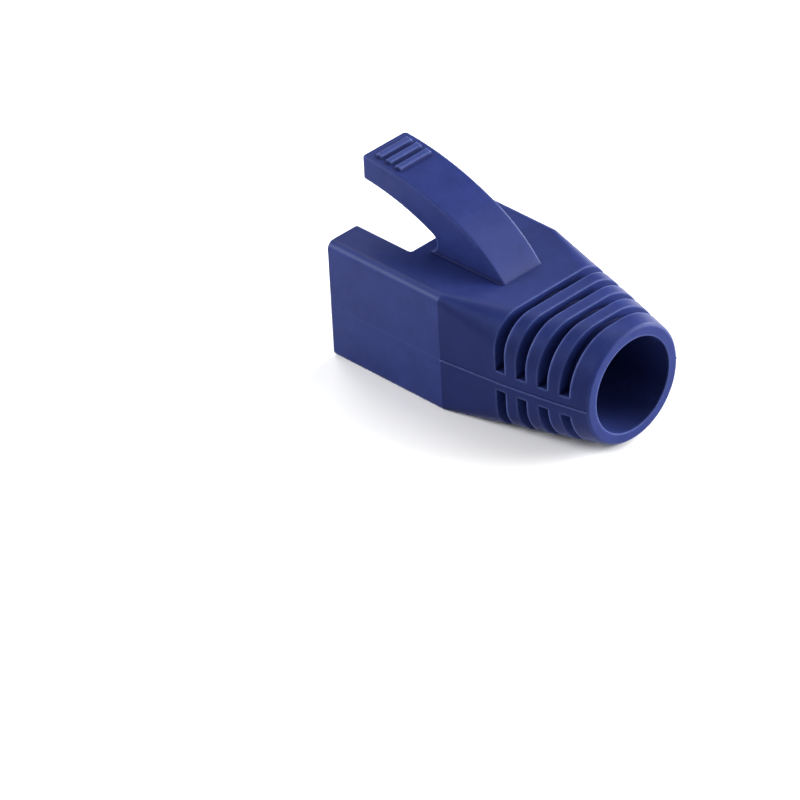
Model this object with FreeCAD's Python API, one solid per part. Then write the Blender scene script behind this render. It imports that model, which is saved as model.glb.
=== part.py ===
import FreeCAD
import Part
import math
import os

from FreeCAD import Vector

# Strain relief boot for an RJ45 plug: one soft moulded piece.
# X runs along the cable, from the plug mouth to the collar, Y across the plug, Z up.
# The origin is on the base, midway along. The model is drawn from the mouth and moved there last.

# Hood, the square part that takes the rear of the plug
boot_length = 28.0
hood_width = 14.2
hood_height = 11.2
hood_length = 12.9
hood_top_round = 0.75
hood_base_round = 0.45
mouth_round = 0.2
side_wall = 1.05
top_wall = 1.15
floor_wall = 1.2
cavity_round = 0.5

# Sill, the raised bar across the floor of the mouth that keeps the plug in
sill_length = 1.0
sill_rise = 1.2
sill_end_gap = 0.4

# Notch in the roof, where the plug's latch stands
notch_width = 7.3
notch_length = 6.45
notch_lip_round = 0.4
notch_back_round = 0.3

# Collar at the cable end, and the bore through it
collar_diameter = 10.6
collar_length = 1.78
collar_axis_height = 5.65
rim_bevel = 0.16
bore_diameter = 8.6
funnel_gap = 0.4
taper_onset = 0.4
rounding_power = 0.8

# Ribs: grooves sunk from above and from below to the sleeve round the bore, with a bridge left
# between them on each side
sleeve_wall = 0.5
slot_count = 4
slot_width = 0.98
slot_pitch = 2.13
bridge_base = 4.55
bridge_height = 1.85

# Parting line of the mould, a fine ridge along both sides of the tail
seam_front_height = 5.05
seam_rear_height = 5.5
seam_width = 0.14
seam_rise = 0.06

# Latch guard, a curved lever that grows out of the roof and reaches over the notch
guard_setback = 0.0
guard_tip_rise = 6.29
guard_tip_depth = 2.08
guard_tip_slope = 1.8
guard_tip_width = 5.2
guard_root_width = 4.55
guard_bend = 10.5
guard_front_radius = 28.35
guard_rear_radius = 14.87
guard_under_slope = 5.8
guard_under_radius = 22.0
guard_plate = 0.85
guard_cheek = 0.95
guard_corner_round = 0.4
guard_edge_round = 0.22
arch_radius = 1.0
channel_length = 12.2

# Finger bars across the guard's tip
bar_count = 3
bar_pitch = 1.1
bar_inset = 1.3
bar_width = 0.62
bar_length = 3.6
bar_rise = 0.3
bar_round = 0.12

# Worked out from the sizes above
half_width = hood_width / 2
tail_length = boot_length - hood_length
collar_radius = collar_diameter / 2
bore_radius = bore_diameter / 2
cavity_half_width = half_width - side_wall
cavity_top = hood_height - top_wall
last_slot = boot_length - collar_length - slot_width
first_slot = last_slot - (slot_count - 1) * slot_pitch
bore_start = first_slot - funnel_gap
past = 1.0
least_flat = 0.1


def arc(start, middle, end):
    return Part.Arc(start, middle, end).toShape()


def line(start, end):
    return Part.LineSegment(start, end).toShape()


def blend(start, end, share):
    return start + (end - start) * share


# How far the tail has drawn in at a share of its length: it sets off at an angle, then draws in faster
def drawn_in(share):
    return share * blend(taper_onset, 1, share)


# How far the corners have opened out to the collar's round at a share of the tail's length
def opened_out(share):
    return share ** rounding_power


# Upright outline across the boot at x: a rectangle with its upper and lower corners rounded.
# It always has four flats and four arcs, so that outlines can be lofted edge to edge.
def outline(x, side, base, top, base_round, top_round):
    limit = min(side, (top - base) / 2) - least_flat / 2
    low = min(base_round, limit)
    high = min(top_round, limit)
    corners = [
        (side - low, base + low, low, -45),
        (side - high, top - high, high, 45),
        (high - side, top - high, high, 135),
        (low - side, base + low, low, 225),
    ]
    turns = []
    for y, z, radius, middle in corners:
        points = []
        for angle in (middle - 45, middle, middle + 45):
            turn = math.radians(angle)
            points.append(Vector(x, y + radius * math.cos(turn), z + radius * math.sin(turn)))
        turns.append(points)
    edges = []
    for index, points in enumerate(turns):
        edges.append(arc(*points))
        edges.append(line(points[2], turns[(index + 1) % 4][0]))
    return Part.Wire(edges)


def prism(wire, along):
    return Part.Face(wire).extrude(along)


# Outside of the tail at a share of its length: the hood's outline turning into the round collar
def tail_outline(share, widen):
    taper = drawn_in(share)
    return outline(
        hood_length + tail_length * share,
        blend(half_width, collar_radius, taper) + widen,
        blend(0, collar_axis_height - collar_radius, taper),
        blend(hood_height, collar_axis_height + collar_radius, taper),
        blend(hood_base_round, collar_radius, opened_out(share)),
        blend(hood_top_round, collar_radius, opened_out(share)),
    )


# The tail runs straight from the hood to the first groove, and from each groove to the next
def tail_solid(widen):
    middles = [first_slot + slot_width / 2 + index * slot_pitch for index in range(slot_count)]
    shares = [0] + [(middle - hood_length) / tail_length for middle in middles] + [1]
    return Part.makeLoft([tail_outline(share, widen) for share in shares], True, True)


def edges_at_x(shape, x):
    found = []
    for edge in shape.Edges:
        box = edge.BoundBox
        if abs(box.XMin - x) < 1e-4 and abs(box.XMax - x) < 1e-4:
            found.append(edge)
    return found


# Hood and tail as one full body, with the mouth's edge rounded and the collar's rim bevelled
def outside():
    start = outline(0, half_width, 0, hood_height, hood_base_round, hood_top_round)
    hood = prism(start, Vector(hood_length, 0, 0))
    hood = hood.makeFillet(mouth_round, edges_at_x(hood, 0))
    end_radius = collar_radius - rim_bevel
    seat = Vector(hood_length, 0, collar_axis_height)
    bevel = Part.makeCone(end_radius + tail_length, end_radius, tail_length, seat, Vector(1, 0, 0))
    return hood.fuse(tail_solid(0).common(bevel))


# The parting ridge: a thin slice of the same tail, a little wider, that climbs towards the collar
def seam():
    wide = tail_solid(seam_rise)
    end = boot_length - rim_bevel
    half = seam_width / 2
    corners = [
        Vector(hood_length, -hood_width, seam_front_height - half),
        Vector(end, -hood_width, seam_rear_height - half),
        Vector(end, -hood_width, seam_rear_height + half),
        Vector(hood_length, -hood_width, seam_front_height + half),
        Vector(hood_length, -hood_width, seam_front_height - half),
    ]
    return wide.common(prism(Part.makePolygon(corners), Vector(0, 2 * hood_width, 0)))


# Everything inside: the plug's cavity, whose walls run on until a cone closes them in on the bore
def inside():
    start = outline(-past, cavity_half_width, floor_wall, cavity_top, cavity_round, cavity_round)
    cavity = prism(start, Vector(hood_length + past, 0, 0))
    run_on = prism(start, Vector(bore_start + past, 0, 0))
    reach = math.hypot(cavity_half_width, max(cavity_top - collar_axis_height, collar_axis_height - floor_wall))
    seat = Vector(hood_length, 0, collar_axis_height)
    funnel = Part.makeCone(reach, bore_radius, bore_start - hood_length, seat, Vector(1, 0, 0))
    seat = Vector(bore_start, 0, collar_axis_height)
    bore = Part.makeCylinder(bore_radius, boot_length - bore_start + past, seat, Vector(1, 0, 0))
    return cavity.fuse([funnel.common(run_on), bore])


def sill():
    length = 2 * (cavity_half_width - sill_end_gap)
    sunk = floor_wall / 2
    corner = Vector(0, -length / 2, floor_wall - sunk)
    bar = Part.makeBox(sill_length, length, sill_rise + sunk, corner)
    top = floor_wall + sill_rise
    edges = [edge for edge in bar.Edges if edge.BoundBox.ZMin > top - 1e-4 and edge.BoundBox.YLength > 1e-4]
    long_edges = [edge for edge in edges if edge.Length > sill_length * 1.5]
    return bar.makeFillet(min(mouth_round, sill_length / 3), long_edges)


# Plan of the notch: its sides turn outward round the two lips, and its back corners are rounded
def notch():
    side = notch_width / 2
    lip = notch_lip_round
    back = notch_back_round
    lean = math.sqrt(0.5)
    z = cavity_top - top_wall

    def at(x, y):
        return Vector(x, y, z)

    edges = [
        line(at(-past, -side - lip), at(0, -side - lip)),
        arc(at(0, -side - lip), at(lip - lip * lean, -side - lip + lip * lean), at(lip, -side)),
        line(at(lip, -side), at(notch_length - back, -side)),
        arc(
            at(notch_length - back, -side),
            at(notch_length - back + back * lean, back - side - back * lean),
            at(notch_length, back - side),
        ),
        line(at(notch_length, back - side), at(notch_length, side - back)),
        arc(
            at(notch_length, side - back),
            at(notch_length - back + back * lean, side - back + back * lean),
            at(notch_length - back, side),
        ),
        line(at(notch_length - back, side), at(lip, side)),
        arc(at(lip, side), at(lip - lip * lean, side + lip - lip * lean), at(0, side + lip)),
        line(at(0, side + lip), at(-past, side + lip)),
        line(at(-past, side + lip), at(-past, -side - lip)),
    ]
    return prism(Part.Wire(edges), Vector(0, 0, 2 * top_wall + past))


# Grooves across the whole tail, above and below the side bridges, down to the sleeve
def grooves():
    above = bridge_base + bridge_height
    seat = Vector(hood_length, 0, collar_axis_height)
    sleeve = Part.makeCylinder(bore_radius + sleeve_wall, tail_length, seat, Vector(1, 0, 0))
    cuts = []
    for index in range(slot_count):
        x = first_slot + index * slot_pitch
        upper = Vector(x, -hood_width, above)
        lower = Vector(x, -hood_width, -past)
        high = Part.makeBox(slot_width, 2 * hood_width, hood_height + past - above, upper)
        low = Part.makeBox(slot_width, 2 * hood_width, bridge_base + past, lower)
        cuts.append(high.cut(sleeve))
        cuts.append(low.cut(sleeve))
    return cuts


# A round stretch of the guard's side view that sets off at a downward slope and keeps turning down
class Bend:
    def __init__(self, x, z, slope, radius):
        self.slope = slope
        self.radius = radius
        self.centre_x = x - radius * math.sin(slope)
        self.centre_z = z - radius * math.cos(slope)

    def at(self, slope):
        x = self.centre_x + self.radius * math.sin(slope)
        return Vector(x, 0, self.centre_z + self.radius * math.cos(slope))

    def slope_at_x(self, x):
        return math.asin((x - self.centre_x) / self.radius)

    def slope_at_z(self, z):
        return math.acos((z - self.centre_z) / self.radius)

    def edge(self, start, end):
        return arc(self.at(start), self.at((start + end) / 2), self.at(end))


# The guard's top, or with a depth the channel's ceiling, as a front and a rear bend in line
def top_bends(depth):
    slope = math.radians(guard_tip_slope)
    x = guard_setback
    z = hood_height + guard_tip_rise
    front = Bend(x, z, slope, guard_front_radius)
    turn = front.slope_at_x(x + guard_bend)
    meeting = front.at(turn)
    rear = Bend(meeting.x, meeting.z, turn, guard_rear_radius)
    front.radius = front.radius - depth
    rear.radius = rear.radius - depth
    return front, rear, turn


def guard_width_at(x):
    front, rear, turn = top_bends(0)
    root = rear.at(rear.slope_at_z(hood_height)).x
    return blend(guard_tip_width, guard_root_width, (x - guard_setback) / (root - guard_setback))


# Side view of the guard. The gap below it ends in a half-round arch that meets the roof level.
def guard_side():
    front, rear, turn = top_bends(0)
    sunk = hood_height - top_wall / 2
    rear_end = rear.slope_at_z(sunk)
    start = front.at(front.slope)
    under_slope = math.radians(guard_under_slope)
    under = Bend(guard_setback, start.z - guard_tip_depth, under_slope, guard_under_radius)
    arch_z = hood_height + arch_radius
    reach = under.radius - arch_radius
    arch_x = under.centre_x + math.sqrt(reach ** 2 - (arch_z - under.centre_z) ** 2)
    meeting = math.atan2(arch_x - under.centre_x, arch_z - under.centre_z)
    middle = (math.pi + meeting) / 2
    arch_middle = Vector(arch_x + arch_radius * math.sin(middle), 0, arch_z + arch_radius * math.cos(middle))
    arch_foot = Vector(arch_x, 0, hood_height)
    foot = Vector(arch_x, 0, sunk)
    edges = [
        front.edge(front.slope, turn),
        rear.edge(turn, rear_end),
        line(rear.at(rear_end), foot),
        line(foot, arch_foot),
        arc(arch_foot, arch_middle, under.at(meeting)),
        under.edge(meeting, under.slope),
        line(under.at(under.slope), start),
    ]
    return Part.Wire(edges)


# Plan of the guard: it narrows towards its root, and the tip's corners are rounded
def guard_plan():
    reach = boot_length
    tip = guard_width_at(guard_setback) / 2
    root = guard_width_at(reach) / 2
    corner = guard_corner_round
    x = guard_setback
    side = guard_width_at(x + corner) / 2
    lean = math.sqrt(0.5)
    edges = [
        line(Vector(x, corner - tip, 0), Vector(x, tip - corner, 0)),
        arc(
            Vector(x, tip - corner, 0),
            Vector(x + corner - corner * lean, side - corner + corner * lean, 0),
            Vector(x + corner, side, 0),
        ),
        line(Vector(x + corner, side, 0), Vector(reach, root, 0)),
        line(Vector(reach, root, 0), Vector(reach, -root, 0)),
        line(Vector(reach, -root, 0), Vector(x + corner, -side, 0)),
        arc(
            Vector(x + corner, -side, 0),
            Vector(x + corner - corner * lean, corner - side - corner * lean, 0),
            Vector(x, corner - tip, 0),
        ),
    ]
    return Part.Wire(edges)


# Hollow of the guard, open to the front and at both sides of the gap: it follows the top
def channel():
    front, rear, turn = top_bends(guard_plate)
    end_x = guard_setback + channel_length
    end = rear.slope_at_x(end_x)
    start = front.at(front.slope)
    mouth = Vector(-past, 0, start.z)
    edges = [
        line(mouth, start),
        front.edge(front.slope, turn),
        rear.edge(turn, end),
        line(rear.at(end), Vector(end_x, 0, hood_height)),
        line(Vector(end_x, 0, hood_height), Vector(-past, 0, hood_height)),
        line(Vector(-past, 0, hood_height), mouth),
    ]
    side = prism(Part.Wire(edges), Vector(0, hood_width, 0))
    side.translate(Vector(0, -half_width, 0))
    wide = guard_width_at(-past) / 2 - guard_cheek
    narrow = guard_width_at(end_x) / 2 - guard_cheek
    corners = [
        Vector(-past, -wide, 0),
        Vector(end_x, -narrow, 0),
        Vector(end_x, narrow, 0),
        Vector(-past, wide, 0),
        Vector(-past, -wide, 0),
    ]
    plan = prism(Part.makePolygon(corners), Vector(0, 0, 2 * hood_height))
    return side.common(plan)


def guard():
    side = prism(guard_side(), Vector(0, hood_width, 0))
    side.translate(Vector(0, -half_width, 0))
    plan = prism(guard_plan(), Vector(0, 0, 2 * hood_height))
    lever = side.common(plan)
    front, rear, turn = top_bends(0)
    rim = []
    for edge in lever.Edges:
        box = edge.BoundBox
        on_side = box.YMin > guard_root_width / 4 or box.YMax < -guard_root_width / 4
        on_tip = box.XMax < guard_setback + 1e-4
        middle = edge.valueAt((edge.FirstParameter + edge.LastParameter) / 2)
        bend = front if middle.x < front.at(turn).x else rear
        on_top = abs(middle.z - bend.at(bend.slope_at_x(middle.x)).z) < 1e-3
        if on_top and (on_side or on_tip):
            rim.append(edge)
    round_limit = min(guard_edge_round, 0.9 * guard_corner_round, 0.8 * guard_plate)
    return lever.makeFillet(round_limit, rim).cut(channel())


# Finger bars, each laid square to the guard's top at its own place
def bars():
    front, rear, turn = top_bends(0)
    shapes = []
    for index in range(bar_count):
        slope = front.slope_at_x(guard_setback + bar_inset + index * bar_pitch)
        sunk = guard_plate / 2
        corner = Vector(-bar_width / 2, -bar_length / 2, -sunk)
        bar = Part.makeBox(bar_width, bar_length, bar_rise + sunk, corner)
        edges = [edge for edge in bar.Edges if edge.BoundBox.ZMin > bar_rise - 1e-4]
        bar = bar.makeFillet(min(bar_round, bar_width / 4), edges)
        bar.rotate(Vector(0, 0, 0), Vector(0, 1, 0), math.degrees(slope))
        bar.translate(front.at(slope))
        shapes.append(bar)
    return shapes


def boot():
    body = outside().fuse(seam())
    body = body.cut(inside())
    body = body.cut([notch()] + grooves())
    body = body.fuse([sill(), guard()] + bars())
    body = body.removeSplitter()
    body.translate(Vector(-boot_length / 2, 0, 0))
    return body


os.makedirs("parts", exist_ok=True)
shape = boot()
shape.exportStep("parts/boot.step")
print("boot:", len(shape.Solids), "solid, volume", round(shape.Volume, 1), "mm3, valid", shape.isValid())
print("size:", round(shape.BoundBox.XLength, 2), round(shape.BoundBox.YLength, 2), round(shape.BoundBox.ZLength, 2))
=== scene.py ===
import math

import bpy
from mathutils import Matrix, Vector

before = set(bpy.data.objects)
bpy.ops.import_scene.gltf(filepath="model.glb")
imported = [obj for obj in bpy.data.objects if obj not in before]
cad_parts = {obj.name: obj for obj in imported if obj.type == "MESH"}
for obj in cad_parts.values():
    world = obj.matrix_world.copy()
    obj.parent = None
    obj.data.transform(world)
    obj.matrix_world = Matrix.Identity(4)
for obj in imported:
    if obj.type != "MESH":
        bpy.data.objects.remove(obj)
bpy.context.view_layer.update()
print("stage: frame loaded")

mm = 0.001


# A shader value that can be added, multiplied and so on: each step adds its Math node
class Wire:
    def __init__(self, tree, socket):
        self.tree = tree
        self.socket = socket

    def maths(self, operation, other=None, turned=False, clamp=False):
        values = [self] if other is None else [self, other]
        if turned:
            values.reverse()
        settings = {"operation": operation, "use_clamp": clamp}
        return self.tree.add("ShaderNodeMath", settings, dict(enumerate(values))).out()

    def __add__(self, other):
        return self.maths("ADD", other)

    __radd__ = __add__

    def __mul__(self, other):
        return self.maths("MULTIPLY", other)

    __rmul__ = __mul__

    def __sub__(self, other):
        return self.maths("SUBTRACT", other)

    def __rsub__(self, other):
        return self.maths("SUBTRACT", other, turned=True)

    def __truediv__(self, other):
        return self.maths("DIVIDE", other)

    def __rtruediv__(self, other):
        return self.maths("DIVIDE", other, turned=True)

    def __pow__(self, other):
        return self.maths("POWER", other)

    def __rpow__(self, other):
        return self.maths("POWER", other, turned=True)

    def __gt__(self, other):
        return self.maths("GREATER_THAN", other)

    def __lt__(self, other):
        return self.maths("LESS_THAN", other)

    def __abs__(self):
        return self.maths("ABSOLUTE")

    def clamped(self):
        return self.maths("ADD", 0.0, clamp=True)


# A node that has been added, read by the name or the number of an output
class Made:
    def __init__(self, tree, node):
        self.tree = tree
        self.node = node

    def out(self, name=0):
        return Wire(self.tree, self.node.outputs[name])


# A new material's nodes
class Tree:
    def __init__(self, name):
        self.material = bpy.data.materials.new(name)
        self.material.use_nodes = True
        self.nodes = self.material.node_tree.nodes
        self.links = self.material.node_tree.links
        self.nodes.clear()

    def add(self, kind, settings=None, inputs=None):
        node = self.nodes.new(kind)
        for key, value in (settings or {}).items():
            setattr(node, key, value)
        for key, value in (inputs or {}).items():
            if isinstance(value, Wire):
                self.links.new(value.socket, node.inputs[key])
            else:
                node.inputs[key].default_value = value
        return Made(self, node)

    def split(self, vector):
        parts = self.add("ShaderNodeSeparateXYZ", {}, {"Vector": vector})
        return parts.out("X"), parts.out("Y"), parts.out("Z")

    def mixed(self, share, under, over):
        inputs = {"Factor": share, "A": under, "B": over}
        return self.add("ShaderNodeMix", {"data_type": "RGBA"}, inputs).out("Result")

    def finished(self, inputs):
        shader = self.add("ShaderNodeBsdfPrincipled", {}, inputs).out("BSDF")
        self.add("ShaderNodeOutputMaterial", {}, {"Surface": shader})
        return self.material


# Soft blue PVC, matt from a fine-textured mould, paler on edges where it has rubbed and where
# highlights are painted, with painted shade on the tail's sides and in hollow corners
plastic = {
    "deepBlue": (0.0112, 0.0188, 0.092, 1.0),
    "paleBlue": (0.0162, 0.0262, 0.123, 1.0),
    # dark blue of the painted shade on the tail's sides and in hollow corners
    "paintedShadeBlue": (0.0030, 0.0065, 0.046, 1.0),
    # pale blue for edge wear and for painted highlights on edges, finger bars, shoulders and the
    # parting line
    "wearAndSheenBlue": (0.075, 0.105, 0.300, 1.0),
    "specular": 0.08,
    "roughness": 0.40,
    "roughnessSpread": 0.10,
    # uneven colour and surface: waves, scuffs and grain
    "flowSize": 2.4 * mm,
    "flowDetail": 2.0,
    "flowShare": 1.6,
    "flowHeight": 0.012 * mm,
    "scuffSize": 0.7 * mm,
    "scuffDetail": 4.0,
    "scuffShare": 0.9,
    "grainSize": 0.11 * mm,
    "grainDetail": 3.0,
    "grainShare": 0.5,
    "grainHeight": 0.0035 * mm,
    # edges: how round they look, and how far in and how strongly they are painted paler, partly as
    # wear and partly as painted highlight
    "edgeRound": 0.22 * mm,
    "edgeSamples": 6,
    "wearAndSheenWidth": 0.24 * mm,
    "wearAndSheenSamples": 8,
    "wearAndSheenFalloff": 1.6,
    "wearAndSheenStrength": 1.7,
    # painted highlight on the shoulders of the hood and the guard
    "shoulderHighlight": 0.20,
    "shoulderFalloff": 2.5,
    # painted highlight on the finger bars' tops: they stand on the guard's round back, whose axis is
    # at (x, z)
    "barsBefore": -8.0 * mm,
    "barsAxis": (-14.89 * mm, -10.85 * mm),
    "barsFoot": 28.45 * mm,
    "barsRise": 0.15 * mm,
    "barsHighlight": 0.15,
    # painted shade in hollow corners
    "hollowReach": 0.40 * mm,
    "hollowSamples": 6,
    "hollowFrom": 0.80,
    "hollowShadeShare": 0.55,
    # painted shade and extra roughness on the sides of the tail
    "tailFrom": -1.1 * mm,
    "tailBeside": 3.0 * mm,
    "tailShadeShare": 0.62,
    "tailMatt": 0.25,
    "sideTurn": 0.72,
    "sideBlend": 0.2,
    # faces that look in at the bore's axis
    "boreHeight": 5.65 * mm,
    "boreInside": -2.0 * mm,
    "boreMatt": 0.45,
    # parting line on the sides of the hood, drawn as a pale painted highlight line
    "partingHeight": 5.03 * mm,
    "partingHalf": 0.07 * mm,
    "partingSide": 7.0 * mm,
    "partingStrength": 0.14,
}


# 1 at a level, falling evenly to 0 at the given half width
def nearLevel(value, level, half):
    return (1 - abs(value - level) / half).clamped()


# Noise of the size and detail that the dictionary gives under a name
def unevenness(tree, place, name):
    inputs = {"Vector": place, "Scale": 1 / plastic[name + "Size"], "Detail": plastic[name + "Detail"]}
    return tree.add("ShaderNodeTexNoise", {"noise_dimensions": "3D"}, inputs).out("Fac")


# The share of the view within a distance that stays free, outwards or into the plastic
def freeShare(tree, distance, samples, inside):
    settings = {"samples": samples, "inside": inside, "only_local": True}
    return tree.add("ShaderNodeAmbientOcclusion", settings, {"Distance": distance}).out("AO")


def softPlastic():
    p = plastic
    tree = Tree("softPvc")
    place = tree.add("ShaderNodeTexCoord").out("Object")
    x, y, z = tree.split(place)
    _, faceY, faceZ = tree.split(tree.add("ShaderNodeNewGeometry").out("Normal"))
    grain = unevenness(tree, place, "grain")
    flow = unevenness(tree, place, "flow")
    scuff = unevenness(tree, place, "scuff")
    middle = 0.5  # the noise swings about this value

    # 0 in a hollow corner, where painted shade goes, 1 on open faces
    free = freeShare(tree, p["hollowReach"], p["hollowSamples"], False)
    openFace = ((free - p["hollowFrom"]) / (1 - p["hollowFrom"])).clamped()

    # Edges painted paler, partly as wear and partly as painted highlight: the share of the inward view
    # that leaves the plastic again close by
    solid = freeShare(tree, p["wearAndSheenWidth"], p["wearAndSheenSamples"], True)
    wearAndSheen = (1 - solid) ** p["wearAndSheenFalloff"] * p["wearAndSheenStrength"] * (middle + scuff)

    # Painted highlight on top of the finger bars: how far a spot stands out from the guard's round
    # back
    axisX, axisZ = p["barsAxis"]
    reach = ((x - axisX) ** 2 + (z - axisZ) ** 2) ** 0.5
    onBars = ((reach - p["barsFoot"]) / p["barsRise"]).clamped() * (x < p["barsBefore"])
    wearAndSheen = wearAndSheen + onBars * p["barsHighlight"]

    # Painted highlight on the shoulders of the hood and of the guard, most where they turn halfway
    # from side to top
    bevel = {"samples": p["edgeSamples"]}
    softEdges = tree.add("ShaderNodeBevel", bevel, {"Radius": p["edgeRound"]}).out("Normal")
    _, softY, softZ = tree.split(softEdges)
    halfway = (abs(softY) * softZ.maths("MAXIMUM", 0.0) * 2).clamped()
    shoulders = halfway ** p["shoulderFalloff"] * (x < p["tailFrom"]) * openFace
    wearAndSheen = wearAndSheen + shoulders * p["shoulderHighlight"]

    # Faint parting line along the flat sides of the hood, drawn as a painted highlight line
    away = abs(y)
    onTail = x > p["tailFrom"]
    onHoodSide = (away > p["partingSide"]) * (1 - onTail)
    parting = nearLevel(z, p["partingHeight"], p["partingHalf"]) * onHoodSide * p["partingStrength"]

    # Painted shade: the tail's sides are made darker than the hood, and hollow corners darker too
    sideways = ((abs(faceY) - p["sideTurn"]) / p["sideBlend"]).clamped()
    paintedShade = sideways * onTail * (away > p["tailBeside"]) * p["tailShadeShare"]
    paintedShade = (paintedShade + (1 - openFace) * p["hollowShadeShare"]).clamped()

    # The core leaves every face that looks in at the bore's axis more matt than the outside
    outward = faceY * y + faceZ * (z - p["boreHeight"])
    matt = paintedShade * p["tailMatt"] + (outward < p["boreInside"]) * p["boreMatt"]

    waves = (flow - middle) * p["flowShare"] + (scuff - middle) * p["scuffShare"]
    mottle = (waves + (grain - middle) * p["grainShare"] + middle).clamped()
    body = tree.mixed(mottle, p["deepBlue"], p["paleBlue"])
    # the painted shade is mixed over the body colour
    body = tree.mixed(paintedShade, body, p["paintedShadeBlue"])
    # pale blue over it for edge wear and painted highlights
    colour = tree.mixed((wearAndSheen + parting).clamped(), body, p["wearAndSheenBlue"])
    roughness = p["roughness"] + (grain + scuff - 2 * middle) * p["roughnessSpread"] + matt
    height = flow * p["flowHeight"] + grain * p["grainHeight"]
    bump = {"Height": height, "Strength": 1.0, "Distance": 1.0, "Normal": softEdges}
    grainy = tree.add("ShaderNodeBump", {}, bump).out("Normal")
    return tree.finished({
        "Base Color": colour,
        "Roughness": roughness,
        "Normal": grainy,
        "Specular IOR Level": p["specular"],
    })


pvc = softPlastic()
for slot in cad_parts["boot"].material_slots:
    slot.material = pvc
print("stage: plastic laid on the boot")


# Pale floor and the even light of the studio round it, in metres and watts
studio = {
    "floorSize": 4.0,
    "floorDrop": 0.02 * mm,
    "floorColour": (0.93, 0.93, 0.93, 1.0),
    "floorRoughness": 0.7,
    "floorSpecular": 0.1,
    "skyColour": (1.0, 1.0, 1.0, 1.0),
    "skyStrength": 0.20,
    "lightDistance": 0.40,
}


def makeFloor():
    half = studio["floorSize"] / 2
    level = -studio["floorDrop"]
    mesh = bpy.data.meshes.new("floor")
    corners = [(-half, -half, level), (half, -half, level), (half, half, level), (-half, half, level)]
    mesh.from_pydata(corners, [], [(0, 1, 2, 3)])
    floor = bpy.data.objects.new("floor", mesh)
    bpy.context.scene.collection.objects.link(floor)
    mesh.materials.append(Tree("paleFloor").finished({
        "Base Color": studio["floorColour"],
        "Roughness": studio["floorRoughness"],
        "Specular IOR Level": studio["floorSpecular"],
    }))


def makeSky():
    world = bpy.data.worlds.new("sky")
    bpy.context.scene.world = world
    world.use_nodes = True
    background = world.node_tree.nodes["Background"]
    background.inputs["Color"].default_value = studio["skyColour"]
    background.inputs["Strength"].default_value = studio["skyStrength"]


makeFloor()
makeSky()
print("stage: floor and sky placed")


# Soft round lights: azimuth and elevation in degrees, width in metres, power in watts
lights = {
    "rightLow": {"azimuth": 135, "elevation": 15, "width": 0.22, "power": 2.75},
    "behindLow": {"azimuth": 180, "elevation": 15, "width": 0.22, "power": 1.95},
    "leftMid": {"azimuth": 308, "elevation": 22, "width": 0.14, "power": 1.75},
    "backHigh": {"azimuth": 247, "elevation": 45, "width": 0.22, "power": 0.65},
    "rightMid": {"azimuth": 112, "elevation": 30, "width": 0.22, "power": 0.55},
    "rightHigh": {"azimuth": 157, "elevation": 45, "width": 0.22, "power": 0.60},
    "frontHigh": {"azimuth": 337, "elevation": 45, "width": 0.22, "power": 0.30},
}


# A place round the origin: azimuth 0 is in front, on -Y, and 90 is at the cable end, on +X
def around(azimuth, elevation, distance):
    turn = math.radians(azimuth)
    rise = math.radians(elevation)
    flat = math.cos(rise)
    return distance * Vector((math.sin(turn) * flat, -math.cos(turn) * flat, math.sin(rise)))


def makeLights():
    for name, light in lights.items():
        lamp = bpy.data.lights.new(name, "AREA")
        lamp.shape = "DISK"
        lamp.size = light["width"]
        lamp.energy = light["power"]
        holder = bpy.data.objects.new(name, lamp)
        holder.location = around(light["azimuth"], light["elevation"], studio["lightDistance"])
        holder.rotation_mode = "QUATERNION"
        holder.rotation_quaternion = (-holder.location).to_track_quat("-Z", "Y")
        bpy.context.scene.collection.objects.link(holder)


makeLights()
print("stage: lights placed")


# Camera: what it looks at, from which side, how far it is rolled, and its lens in mm
lookout = {
    "target": (-4.95 * mm, -8.25 * mm, 0.0),
    "azimuth": 46.736,
    "elevation": 33.780,
    "roll": -3.226,
    "distance": 0.60114,
    "lens": 326.98,
    "sensor": 36.0,
    "nearest": 0.01,
    "farthest": 20.0,
}


def makeCamera():
    data = bpy.data.cameras.new("camera")
    data.lens = lookout["lens"]
    data.sensor_width = lookout["sensor"]
    data.clip_start = lookout["nearest"]
    data.clip_end = lookout["farthest"]
    camera = bpy.data.objects.new("camera", data)
    away = around(lookout["azimuth"], lookout["elevation"], lookout["distance"])
    back = away.normalized()
    level = Vector((0, 0, 1)).cross(back).normalized()
    upright = back.cross(level)
    roll = math.radians(lookout["roll"])
    right = level * math.cos(roll) + upright * math.sin(roll)
    up = back.cross(right)
    turn = Matrix((right, up, back)).transposed()
    camera.matrix_world = Matrix.Translation(Vector(lookout["target"]) + away) @ turn.to_4x4()
    bpy.context.scene.collection.objects.link(camera)
    bpy.context.scene.camera = camera


makeCamera()
bpy.context.scene.view_settings.view_transform = "Standard"
print("stage: camera placed")
